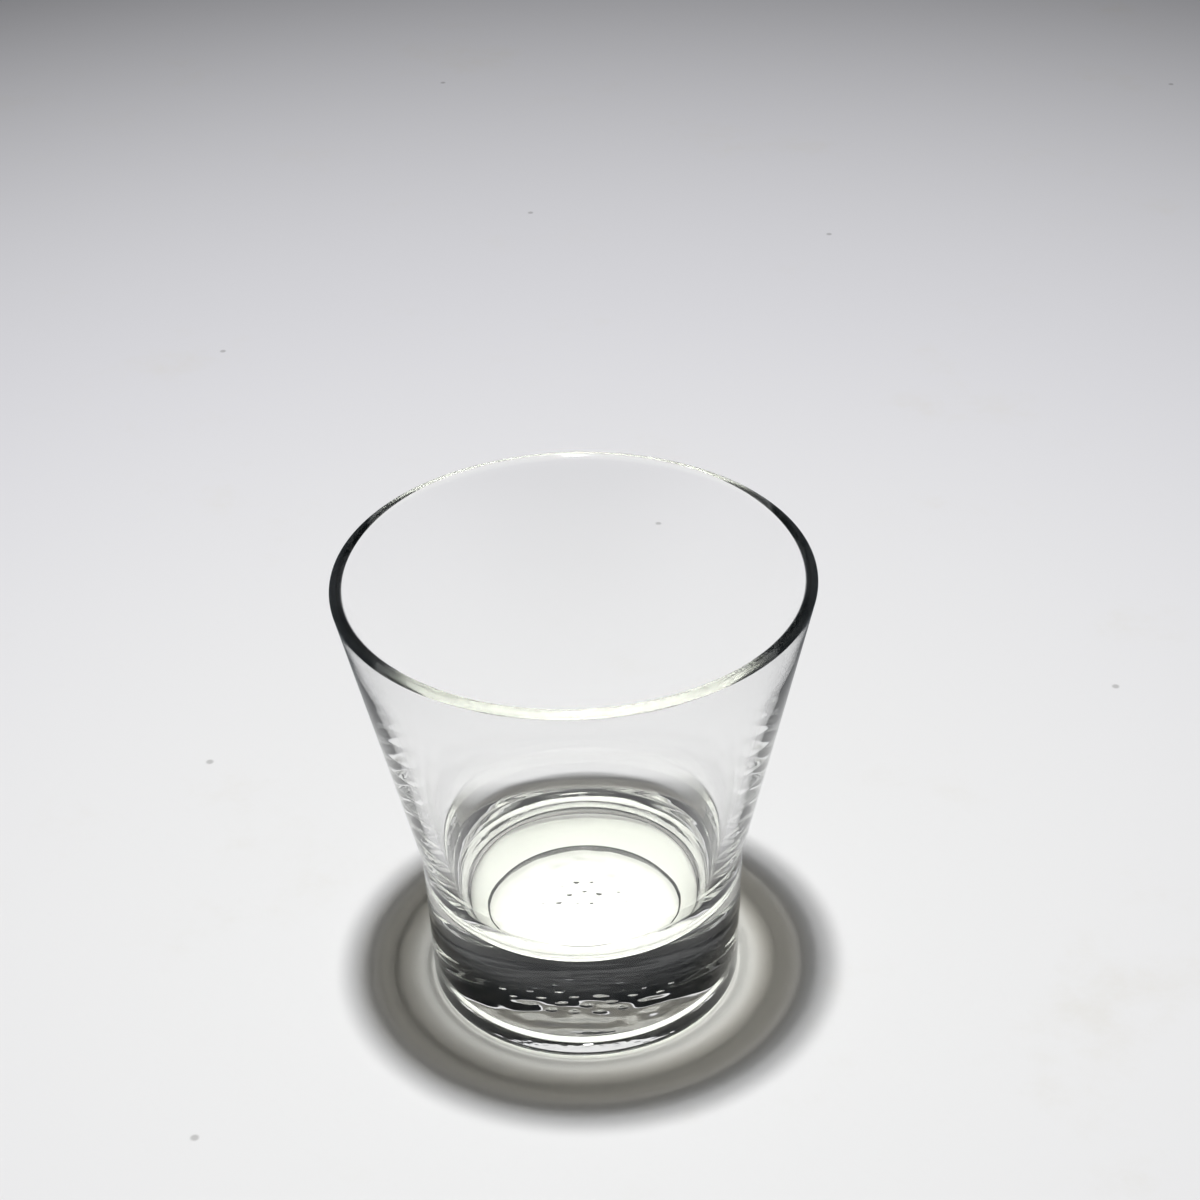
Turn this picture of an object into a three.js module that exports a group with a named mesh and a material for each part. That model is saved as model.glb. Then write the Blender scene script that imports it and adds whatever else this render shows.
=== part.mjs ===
// A flared rocks tumbler in clear pressed glass: one piece, with a thick base.
// Units are millimetres. +Z is up. The origin is the centre of the foot ring,
// on the surface that the glass stands on.

import * as THREE from 'three';

// Outside of the glass.
const RIM_RADIUS = 45.0; // widest ring, just below the top of the lip
const RIM_HEIGHT = 90.9; // height of that widest ring
const HEEL_TOP_RADIUS = 31.6; // where the flared wall meets the straighter heel
const HEEL_TOP_HEIGHT = 30.0;
const HEEL_BLEND = 6.0; // radius of the soft bend between wall and heel
const FOOT_RADIUS = 30.6; // outer radius of the heel, carried down to the foot
const FOOT_EDGE = 0.8; // radius of the bottom outer edge

// Inside of the glass.
const LIP_THICKNESS = 2.4; // wall thickness at the lip, which is a full round
const SHOULDER_RADIUS = 40.2; // the cavity's wall bends softly here:
const SHOULDER_HEIGHT = 80.0; // below, the glass thickens towards the base
const SHOULDER_BLEND = 600.0; // radius of that bend
const FLOOR_RADIUS = 25.85; // cavity radius where its wall would meet its floor
const FLOOR_HEIGHT = 21.0; // inner floor above the table
const FLOOR_FILLET = 7.0; // radius between the cavity's wall and floor
const FLOOR_SAG = 0.4; // how far the floor's middle sits below its edge

// Underside: a flat foot ring around a shallow recess.
const RING_OUTER = 27.0; // outer edge of the foot ring's flat contact band
const RING_BEVEL = 0.65; // how far the underside rises from there to the heel
const RING_INNER = 21.4; // inner edge of the contact band
const RECESS_EDGE = 20.6; // top of the recess's steep side
const RECESS_DEPTH = 1.2; // depth of the recess at that edge
const RECESS_FILLET = 0.3; // radius between the recess's side and its middle
const DOME_RISE = 2.0; // extra rise of the recess at the centre
const DOME_POWER = 1.1; // 1 would be a cone, 2 a rounded dome

const SEGMENTS = 64; // facets round the axis
const CAP_STEPS = 6; // rings of facets across the recess, and across the floor
const ARC_STEP = THREE.MathUtils.degToRad(11); // facet angle along rounded corners

/** A corner of the outline: radius, height, and the radius that rounds it. */
function corner(radius, height, fillet = 0) {
  return { point: new THREE.Vector2(radius, height), fillet };
}

/** The points that round one corner with an arc tangent to both of its sides. */
function filletPoints(before, here, after) {
  const toBefore = before.point.clone().sub(here.point).normalize();
  const toAfter = after.point.clone().sub(here.point).normalize();
  const halfAngle = Math.acos(THREE.MathUtils.clamp(toBefore.dot(toAfter), -1, 1)) / 2;
  const turn = Math.PI - 2 * halfAngle;
  const centre = toBefore.clone().add(toAfter).normalize();
  centre.multiplyScalar(here.fillet / Math.sin(halfAngle)).add(here.point);
  const start = toBefore.multiplyScalar(here.fillet / Math.tan(halfAngle)).add(here.point);
  const sign = Math.sign(start.clone().sub(centre).cross(here.point.clone().sub(centre)));
  const steps = Math.max(2, Math.ceil(turn / ARC_STEP));
  const points = [];
  for (let i = 0; i <= steps; i += 1) {
    points.push(start.clone().rotateAround(centre, (sign * turn * i) / steps));
  }
  return points;
}

/** Replaces each corner that has a radius by its arc. */
function roundCorners(corners) {
  return corners.flatMap((here, i) => {
    if (here.fillet === 0) return [here.point];
    return filletPoints(corners[i - 1], here, corners[i + 1]);
  });
}

/** Corners of a shallow cap, from the axis out to just short of its edge. */
function capCorners(edgeRadius, edgeHeight, rise, power) {
  const corners = [];
  for (let i = 0; i < CAP_STEPS; i += 1) {
    const t = i / CAP_STEPS;
    corners.push(corner(edgeRadius * t, edgeHeight + rise * (1 - t ** power)));
  }
  return corners;
}

/** The glass's half section, from the underside's centre round to the floor's. */
function tumblerOutline() {
  const flare = (RIM_RADIUS - HEEL_TOP_RADIUS) / (RIM_HEIGHT - HEEL_TOP_HEIGHT);
  const lipTop = RIM_HEIGHT + LIP_THICKNESS / 2;
  const lipRadius = RIM_RADIUS + (flare * LIP_THICKNESS) / 2;
  const lipFillet = LIP_THICKNESS * 0.48;
  const underside = capCorners(RECESS_EDGE, RECESS_DEPTH, DOME_RISE, DOME_POWER);
  const floor = capCorners(FLOOR_RADIUS - FLOOR_FILLET, FLOOR_HEIGHT, -FLOOR_SAG, 2);
  return roundCorners([
    ...underside,
    corner(RECESS_EDGE, RECESS_DEPTH, RECESS_FILLET),
    corner(RING_INNER, 0),
    corner(RING_OUTER, 0),
    corner(FOOT_RADIUS, RING_BEVEL, FOOT_EDGE),
    corner(HEEL_TOP_RADIUS, HEEL_TOP_HEIGHT, HEEL_BLEND),
    corner(lipRadius, lipTop, lipFillet),
    corner(lipRadius - LIP_THICKNESS, lipTop, lipFillet),
    corner(SHOULDER_RADIUS, SHOULDER_HEIGHT, SHOULDER_BLEND),
    corner(FLOOR_RADIUS, FLOOR_HEIGHT, FLOOR_FILLET),
    ...floor.reverse(),
  ]);
}

/** Turns a half section about +Z into one closed body. */
function turnedSolid(outline) {
  const geometry = new THREE.LatheGeometry(outline, SEGMENTS);
  geometry.rotateX(Math.PI / 2);
  return geometry;
}

const clearGlass = new THREE.MeshStandardMaterial({
  color: 0xe6efe9,
  roughness: 0.04,
  metalness: 0.0,
  transparent: true,
  opacity: 0.35,
});

const tumbler = new THREE.Mesh(turnedSolid(tumblerOutline()), clearGlass);
tumbler.name = 'tumbler';

const glass = new THREE.Group();
glass.add(tumbler);

export default glass;
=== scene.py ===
"""A clear pressed-glass tumbler under an overhead studio lamp.

Everything is in metres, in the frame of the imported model: +Z is up and the origin is
the centre of the foot ring, on the floor. The glass's own dimensions are in millimetres.
"""

import math

import bmesh
import bpy
from mathutils import Matrix, Vector, noise


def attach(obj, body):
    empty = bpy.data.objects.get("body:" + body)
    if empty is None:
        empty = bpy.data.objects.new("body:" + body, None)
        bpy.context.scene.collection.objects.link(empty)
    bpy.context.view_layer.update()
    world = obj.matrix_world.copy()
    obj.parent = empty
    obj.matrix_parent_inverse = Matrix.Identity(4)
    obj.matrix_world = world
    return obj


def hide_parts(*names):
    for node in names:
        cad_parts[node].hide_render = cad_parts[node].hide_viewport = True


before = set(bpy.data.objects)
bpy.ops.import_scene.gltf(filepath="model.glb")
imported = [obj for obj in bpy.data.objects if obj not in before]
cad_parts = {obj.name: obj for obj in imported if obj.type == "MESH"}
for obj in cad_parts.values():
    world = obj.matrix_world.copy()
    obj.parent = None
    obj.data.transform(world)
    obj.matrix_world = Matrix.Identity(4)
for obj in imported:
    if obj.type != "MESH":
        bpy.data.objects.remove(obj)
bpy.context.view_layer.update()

MM = 0.001

# The glass's driving dimensions, in millimetres, as in the CAD solid.
RIM_RADIUS = 45.0
RIM_HEIGHT = 90.9
HEEL_TOP_RADIUS = 31.6
HEEL_TOP_HEIGHT = 30.0
HEEL_BLEND = 6.0
FOOT_RADIUS = 30.6
FOOT_EDGE = 0.8
LIP_THICKNESS = 2.4
SHOULDER_RADIUS = 40.2
SHOULDER_HEIGHT = 80.0
SHOULDER_BLEND = 600.0
FLOOR_RADIUS = 25.85
FLOOR_HEIGHT = 21.0
FLOOR_FILLET = 7.0
FLOOR_SAG = 0.4
RING_OUTER = 27.0
RING_BEVEL = 0.65
RING_INNER = 21.4
RECESS_EDGE = 20.6
RECESS_DEPTH = 1.2
RECESS_FILLET = 0.3
DOME_RISE = 2.0
DOME_POWER = 1.1

# Fine surface detail that the CAD solid leaves out, in millimetres.
CHILL_WAVE = 0.16  # unevenness of the recess, as pressed glass has
CHILL_SIZE = 4.0
STIPPLE_DEPTH = 0.02
STIPPLE_SIZE = 0.5
BEAD_HEIGHT = 0.12  # the moulded mark: plain rings of small beads
BEAD_RADIUS = 1.05
BEAD_RINGS = ((3.1, 6), (6.3, 12), (9.5, 18))

SEGMENTS = 320
ARC_STEP = math.radians(5)
CAP_STEPS = 14
WALL_STEP = 2.0  # longest stretch between two rings of vertices, on the walls
UNDERSIDE_STEP = 0.36  # and on the underside
UNDERSIDE_MARGIN = 0.1  # how far above the recess a point still counts as underside
WAVE_FADE = 6.0  # the recess's unevenness dies out over this stretch before its edge

# The stage, in metres.
FLOOR_SIZE = 12.0
FLOOR_GAP = 0.00005  # the floor lies a hair below the foot ring: light crosses air there
CARD_RADIUS = 0.06
CARD_HEIGHT = 0.12
LAMP_HEIGHT = 1.37
BASE_LAMP_X = 0.0012
BASE_LAMPS = (  # name, reach on the floor, power, blend
    ("base_lamp", 0.036, 50, 0.5),
    ("middle_lamp", 0.024, 30, 1.0),
    ("centre_lamp", 0.015, 18, 1.0),
)
GOBO_HEIGHT = 0.5
GOBO_REACH = 0.0425  # radius of the gobo's shadow on the floor
EDGE_REACH = 0.048  # radius that the edge lamp lights on the floor
BAND_FOOT = math.radians(4)  # elevations between which the pale band at the
BAND_TOP = math.radians(13)  # horizon fades into the dark above it

# The camera.
LENS = 81.18
CAMERA_PLACE = (0.00478, -0.41971, 0.35989)
PITCH = math.radians(33.144)
ROLL = math.radians(-1.571)

# Colours, linear.
GLASS_TINT = (0.93, 0.97, 0.91)
BOARD_NEAR = (0.80, 0.80, 0.80)
# The board far from the glass is painted darker and bluer: painted shade where the lamp's
# light falls off.
BOARD_FAR_PAINTED_SHADE = (0.725, 0.723, 0.755)
PAINTED_SHADOW_OUTER = (0.73, 0.70, 0.625)  # painted shadow: the floor's darker, warmer tint in the outer part of the glass's shadow ring
PAINTED_SHADOW_INNER = (0.79, 0.785, 0.74)  # and its paler painted shadow tint in the inner part
SMUDGE = (0.68, 0.65, 0.58)
SPECK = (0.12, 0.11, 0.10)
# painted glow of the card that only the glass's reflections see
CARD_PAINTED_GLOW = (0.06, 0.07, 0.08)
ROOM_DARK = (0.002, 0.003, 0.004)
ROOM_BAND = (0.06, 0.063, 0.07)


def fillet_points(before, here, after, radius):
    """The points of the arc that rounds the corner here."""
    to_before = (before - here).normalized()
    to_after = (after - here).normalized()
    half_angle = to_before.angle(to_after) / 2
    turn = math.pi - 2 * half_angle
    centre = here + (to_before + to_after).normalized() * (radius / math.sin(half_angle))
    start = here + to_before * (radius / math.tan(half_angle)) - centre
    sign = math.copysign(1, start.cross(here - centre))
    steps = max(2, math.ceil(turn / ARC_STEP))
    points = []
    for i in range(steps + 1):
        turned = Matrix.Rotation(sign * turn * i / steps, 2) @ start
        points.append(centre + turned)
    return points


def cap_corners(edge_radius, edge_height, rise, power):
    """Corners of a shallow cap, from the axis out to just short of its edge."""
    corners = []
    for i in range(CAP_STEPS):
        t = i / CAP_STEPS
        corners.append((edge_radius * t, edge_height + rise * (1 - t**power), 0))
    return corners


def rounded(corners):
    """The corners as points, each one that has a radius replaced by its arc."""
    points = []
    for i, (radius, height, fillet) in enumerate(corners):
        here = Vector((radius, height))
        if fillet:
            before = Vector(corners[i - 1][:2])
            after = Vector(corners[i + 1][:2])
            points += fillet_points(before, here, after, fillet)
        else:
            points.append(here)
    return points


def on_underside(point):
    """True for a point of the foot ring or of the recess."""
    return point.x < RING_OUTER and point.y < RECESS_DEPTH + DOME_RISE + UNDERSIDE_MARGIN


def subdivided(points):
    """The same line with more points, close together where the underside has relief."""
    fine = [points[0]]
    for start, end in zip(points, points[1:]):
        longest = UNDERSIDE_STEP if on_underside(start) else WALL_STEP
        steps = max(1, math.ceil((end - start).length / longest))
        for i in range(steps):
            fine.append(start.lerp(end, (i + 1) / steps))
    return fine


def tumbler_outline():
    """The half section, from the underside's centre round to the floor's centre."""
    flare = (RIM_RADIUS - HEEL_TOP_RADIUS) / (RIM_HEIGHT - HEEL_TOP_HEIGHT)
    lip_top = RIM_HEIGHT + LIP_THICKNESS / 2
    lip_radius = RIM_RADIUS + flare * LIP_THICKNESS / 2
    lip_fillet = LIP_THICKNESS * 0.48
    corners = cap_corners(RECESS_EDGE, RECESS_DEPTH, DOME_RISE, DOME_POWER)
    corners += [
        (RECESS_EDGE, RECESS_DEPTH, RECESS_FILLET),
        (RING_INNER, 0, 0),
        (RING_OUTER, 0, 0),
        (FOOT_RADIUS, RING_BEVEL, FOOT_EDGE),
        (HEEL_TOP_RADIUS, HEEL_TOP_HEIGHT, HEEL_BLEND),
        (lip_radius, lip_top, lip_fillet),
        (lip_radius - LIP_THICKNESS, lip_top, lip_fillet),
        (SHOULDER_RADIUS, SHOULDER_HEIGHT, SHOULDER_BLEND),
        (FLOOR_RADIUS, FLOOR_HEIGHT, FLOOR_FILLET),
    ]
    corners += reversed(cap_corners(FLOOR_RADIUS - FLOOR_FILLET, FLOOR_HEIGHT, -FLOOR_SAG, 2))
    return subdivided(rounded(corners))


def bead_mark(x, y):
    """Height of the beads of the moulded mark above the plain recess."""
    height = 0.0
    for ring_radius, count in BEAD_RINGS:
        pitch = math.tau / count
        angle = round(math.atan2(y, x) / pitch) * pitch
        gap = math.hypot(x - ring_radius * math.cos(angle), y - ring_radius * math.sin(angle))
        height += BEAD_HEIGHT * max(0.0, 1 - (gap / BEAD_RADIUS) ** 2) ** 2
    return height


def relief(x, y, z):
    """How far a point of the plain underside is raised or lowered by fine detail."""
    radius = math.hypot(x, y)
    if not on_underside(Vector((radius, z))):
        return 0.0
    if radius < RECESS_EDGE:
        fade = min(1.0, (RECESS_EDGE - radius) / WAVE_FADE)
        wave = CHILL_WAVE * noise.noise(Vector((x, y, 0)) / CHILL_SIZE)
        return fade * wave - bead_mark(x, y)
    return STIPPLE_DEPTH * abs(noise.noise(Vector((x, y, z)) / STIPPLE_SIZE))


def turned_mesh(name, outline):
    """A closed mesh of revolution about +Z, smooth all over."""
    mesh = bmesh.new()
    rings = []
    for point in outline:
        count = SEGMENTS if point.x > 1e-6 else 1
        ring = []
        for i in range(count):
            angle = math.tau * i / count
            x = point.x * math.cos(angle)
            y = point.x * math.sin(angle)
            z = point.y + relief(x, y, point.y)
            ring.append(mesh.verts.new((x * MM, y * MM, z * MM)))
        rings.append(ring)
    for low, high in zip(rings, rings[1:]):
        for i in range(SEGMENTS):
            j = (i + 1) % SEGMENTS
            if len(low) == 1:
                mesh.faces.new((low[0], high[j], high[i]))
            elif len(high) == 1:
                mesh.faces.new((low[i], low[j], high[0]))
            else:
                mesh.faces.new((low[i], low[j], high[j], high[i]))
    bmesh.ops.recalc_face_normals(mesh, faces=mesh.faces)
    data = bpy.data.meshes.new(name)
    mesh.to_mesh(data)
    mesh.free()
    data.shade_smooth()
    piece = bpy.data.objects.new(name, data)
    bpy.context.collection.objects.link(piece)
    return piece


def math_node(tree, operation, first, second):
    """A math node on two inputs, each a socket or a number."""
    node = tree.nodes.new("ShaderNodeMath")
    node.operation = operation
    for socket, value in zip(node.inputs, (first, second)):
        if isinstance(value, (int, float)):
            socket.default_value = value
        else:
            tree.links.new(value, socket)
    return node.outputs[0]


def coordinates(tree, kind):
    """A place in the Object or Generated coordinates: whole, and split into X, Y and Z."""
    place = tree.nodes.new("ShaderNodeTexCoord").outputs[kind]
    split = tree.nodes.new("ShaderNodeSeparateXYZ")
    tree.links.new(place, split.inputs[0])
    return place, split.outputs


def axis_distance(tree, x, y):
    """The distance from the glass's axis, from two sockets."""
    x_squared = math_node(tree, "MULTIPLY", x, x)
    y_squared = math_node(tree, "MULTIPLY", y, y)
    return math_node(tree, "POWER", math_node(tree, "ADD", x_squared, y_squared), 0.5)


def ramp(tree, value, start, end, first, last):
    """A smooth step: first where value is start or less, last where it is end or more."""
    node = tree.nodes.new("ShaderNodeMapRange")
    node.interpolation_type = "SMOOTHSTEP"
    tree.links.new(value, node.inputs["Value"])
    node.inputs["From Min"].default_value = start
    node.inputs["From Max"].default_value = end
    node.inputs["To Min"].default_value = first
    node.inputs["To Max"].default_value = last
    return node.outputs["Result"]


def tinted(tree, amount, first, last):
    """A mix by amount of two colours, each a socket or a colour."""
    node = tree.nodes.new("ShaderNodeMix")
    node.data_type = "RGBA"
    tree.links.new(amount, node.inputs["Factor"])
    # The node has its sockets A, B and Result once for each data type: these are RGBA's.
    for socket, value in ((node.inputs[6], first), (node.inputs[7], last)):
        if isinstance(value, tuple):
            socket.default_value = (*value, 1)
        else:
            tree.links.new(value, socket)
    return node.outputs[2]


def clear_glass():
    """Fire-polished glass with a faint green tint through its thickness."""
    material = bpy.data.materials.new("clear_glass")
    material.use_nodes = True
    tree = material.node_tree
    shader = tree.nodes["Principled BSDF"]
    shader.inputs["Base Color"].default_value = (1.0, 1.0, 1.0, 1.0)
    shader.inputs["IOR"].default_value = 1.52
    shader.inputs["Transmission Weight"].default_value = 1.0
    shader.inputs["Roughness"].default_value = 0.0
    absorb = tree.nodes.new("ShaderNodeVolumeAbsorption")
    absorb.inputs["Color"].default_value = (*GLASS_TINT, 1.0)
    absorb.inputs["Density"].default_value = 1.8
    tree.links.new(absorb.outputs["Volume"], tree.nodes["Material Output"].inputs["Volume"])
    return material


def pale_floor():
    """White board: faint smudges and a few dark specks. It has a painted shadow ring round
    the glass, darker and warmer, and painted shade that makes it darker and bluer far from
    the glass.
    """
    material = bpy.data.materials.new("floor")
    material.use_nodes = True
    tree = material.node_tree
    shader = tree.nodes["Principled BSDF"]
    place, axes = coordinates(tree, "Object")
    radius = axis_distance(tree, axes["X"], axes["Y"])
    # Painted shade: the board turns darker and bluer from 6 cm out to 32 cm from the glass,
    # in place of the lamp's falloff.
    painted_falloff_mask = ramp(tree, radius, 0.06, 0.32, 0.0, 1.0)
    colour = tinted(tree, painted_falloff_mask, BOARD_NEAR, BOARD_FAR_PAINTED_SHADE)
    # Painted shadow: the board is darkened and warmed in a ring round the glass, where its
    # shadow falls.
    painted_shadow_outer_mask = ramp(tree, radius, 0.040, 0.048, 1.0, 0.0)
    colour = tinted(tree, painted_shadow_outer_mask, colour, PAINTED_SHADOW_OUTER)
    painted_shadow_inner_mask = ramp(tree, radius, 0.032, 0.038, 1.0, 0.0)
    colour = tinted(tree, painted_shadow_inner_mask, colour, PAINTED_SHADOW_INNER)
    smudge = tree.nodes.new("ShaderNodeTexNoise")
    tree.links.new(place, smudge.inputs["Vector"])
    smudge.inputs["Scale"].default_value = 14.0
    smudge.inputs["Detail"].default_value = 8.0
    smudge.inputs["Roughness"].default_value = 0.7
    stain = ramp(tree, smudge.outputs["Fac"], 0.55, 0.78, 0.0, 0.35)
    colour = tinted(tree, stain, colour, SMUDGE)
    cells = tree.nodes.new("ShaderNodeTexVoronoi")
    tree.links.new(place, cells.inputs["Vector"])
    cells.voronoi_dimensions = "2D"
    cells.inputs["Scale"].default_value = 7.0
    speck = ramp(tree, cells.outputs["Distance"], 0.003, 0.008, 0.4, 0.0)
    colour = tinted(tree, speck, colour, SPECK)
    tree.links.new(colour, shader.inputs["Base Color"])
    shader.inputs["Roughness"].default_value = 0.8
    shader.inputs["Specular IOR Level"].default_value = 0.1
    return material


def spot_lamp(name, x, power, cone, blend, size):
    """A spot lamp straight above the floor that points down; cone is its half angle."""
    lamp = bpy.data.lights.new(name, "SPOT")
    lamp.energy = power
    lamp.spot_size = 2 * cone
    lamp.spot_blend = blend
    lamp.shadow_soft_size = size
    piece = bpy.data.objects.new(name, lamp)
    piece.location = (x, 0.0, LAMP_HEIGHT)
    bpy.context.collection.objects.link(piece)
    return piece


def dim_card():
    """Dark card with a faint painted glow, clear at its foot and opaque from its middle up.
    """
    material = bpy.data.materials.new("dim_card")
    material.use_nodes = True
    tree = material.node_tree
    shader = tree.nodes["Principled BSDF"]
    _, axes = coordinates(tree, "Object")
    opaque = ramp(tree, axes["Z"], -0.05, 0.01, 0.0, 1.0)
    tree.links.new(opaque, shader.inputs["Alpha"])
    shader.inputs["Base Color"].default_value = (0.0, 0.0, 0.0, 1.0)
    shader.inputs["Specular IOR Level"].default_value = 0.0
    # Painted glow: the card gives off a faint light of its own, seen only in the glass's
    # reflections.
    shader.inputs["Emission Color"].default_value = (*CARD_PAINTED_GLOW, 1.0)
    shader.inputs["Emission Strength"].default_value = 1.0
    return material


def blockers(name, pieces):
    """A collection of the only pieces that stop a lamp's light."""
    group = bpy.data.collections.new(name)
    for piece in pieces:
        group.objects.link(piece)
    return group


def stage_floor():
    """The board that the glass stands on."""
    bpy.ops.mesh.primitive_plane_add(size=FLOOR_SIZE, location=(0, 0, -FLOOR_GAP))
    floor = bpy.context.object
    floor.name = "floor"
    floor.data.materials.append(pale_floor())
    floor.cycles.is_caustics_receiver = True
    return floor


def stage_card():
    """A ring of dim card that only reflections see: a painted dark reflection in the glass.

    It keeps the bright floor out of the reflections in the upper wall.
    """
    bpy.ops.mesh.primitive_cylinder_add(
        vertices=96,
        radius=CARD_RADIUS,
        depth=CARD_HEIGHT,
        end_fill_type="NOTHING",
        location=(0, 0, CARD_HEIGHT / 2),
    )
    card = bpy.context.object
    card.name = "dim_card"
    card.data.materials.append(dim_card())
    card.visible_camera = False
    card.visible_diffuse = False
    card.visible_transmission = False
    card.visible_shadow = False


def stage_gobo():
    """A small disc under a lamp, seen by no camera, that casts a round shadow."""
    bpy.ops.mesh.primitive_circle_add(
        vertices=96,
        radius=GOBO_REACH * (LAMP_HEIGHT - GOBO_HEIGHT) / LAMP_HEIGHT,
        fill_type="NGON",
        location=(0, 0, GOBO_HEIGHT),
    )
    gobo = bpy.context.object
    gobo.name = "gobo"
    gobo.visible_camera = False
    gobo.visible_diffuse = False
    gobo.visible_glossy = False
    gobo.visible_transmission = False
    return gobo


def overhead_lamp(floor, tumbler):
    """The lamp that casts the glass's shadow ring."""
    lamp = spot_lamp(
        "overhead_lamp", x=-0.014, power=79, cone=math.radians(30.5), blend=1.0, size=0.055
    )
    lamp.data.cycles.is_caustics_light = True
    lamp.light_linking.blocker_collection = blockers("overhead_blockers", (floor, tumbler))


def base_lamps(floor):
    """Stand-ins for the light that the thick base gathers: only the floor stops them."""
    floor_only = blockers("floor_only", (floor,))
    for name, reach, power, blend in BASE_LAMPS:
        cone = math.atan(reach / LAMP_HEIGHT)
        lamp = spot_lamp(name, x=BASE_LAMP_X, power=power, cone=cone, blend=blend, size=0.0)
        lamp.light_linking.blocker_collection = floor_only


def edge_lamp(floor, gobo):
    """A weak lamp that the gobo keeps to the outer edge of the shadow ring."""
    cone = math.atan(EDGE_REACH / LAMP_HEIGHT)
    lamp = spot_lamp("edge_lamp", x=0.0, power=9, cone=cone, blend=0.22, size=0.005)
    lamp.light_linking.blocker_collection = blockers("edge_blockers", (floor, gobo))


def dark_studio():
    """A dark room with a paler band round the horizon."""
    world = bpy.data.worlds.new("studio")
    world.use_nodes = True
    tree = world.node_tree
    _, axes = coordinates(tree, "Generated")
    band = ramp(tree, axes["Z"], math.sin(BAND_FOOT), math.sin(BAND_TOP), 1.0, 0.0)
    colour = tinted(tree, band, ROOM_DARK, ROOM_BAND)
    tree.links.new(colour, tree.nodes["Background"].inputs["Color"])
    return world


def aimed_camera():
    """A camera above the front of the glass, tipped a little to one side."""
    data = bpy.data.cameras.new("camera")
    data.sensor_width = 36
    data.lens = LENS
    camera = bpy.data.objects.new("camera", data)
    camera.matrix_world = (
        Matrix.Translation(CAMERA_PLACE)
        @ Matrix.Rotation(math.pi / 2 - PITCH, 4, "X")
        @ Matrix.Rotation(ROLL, 4, "Z")
    )
    bpy.context.collection.objects.link(camera)
    return camera


# The glass.
tumbler = turned_mesh("tumbler_glass", tumbler_outline())
tumbler.data.materials.append(clear_glass())
tumbler.cycles.is_caustics_caster = True
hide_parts("tumbler")
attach(tumbler, "root")

# The stage and its light.
floor = stage_floor()
stage_card()
overhead_lamp(floor, tumbler)
base_lamps(floor)
gobo = stage_gobo()
edge_lamp(floor, gobo)

bpy.context.scene.world = dark_studio()
bpy.context.scene.camera = aimed_camera()

scene = bpy.context.scene
scene.view_settings.view_transform = "Standard"
scene.cycles.use_denoising = True
scene.cycles.max_bounces = 64
scene.cycles.transmission_bounces = 64
scene.cycles.glossy_bounces = 64
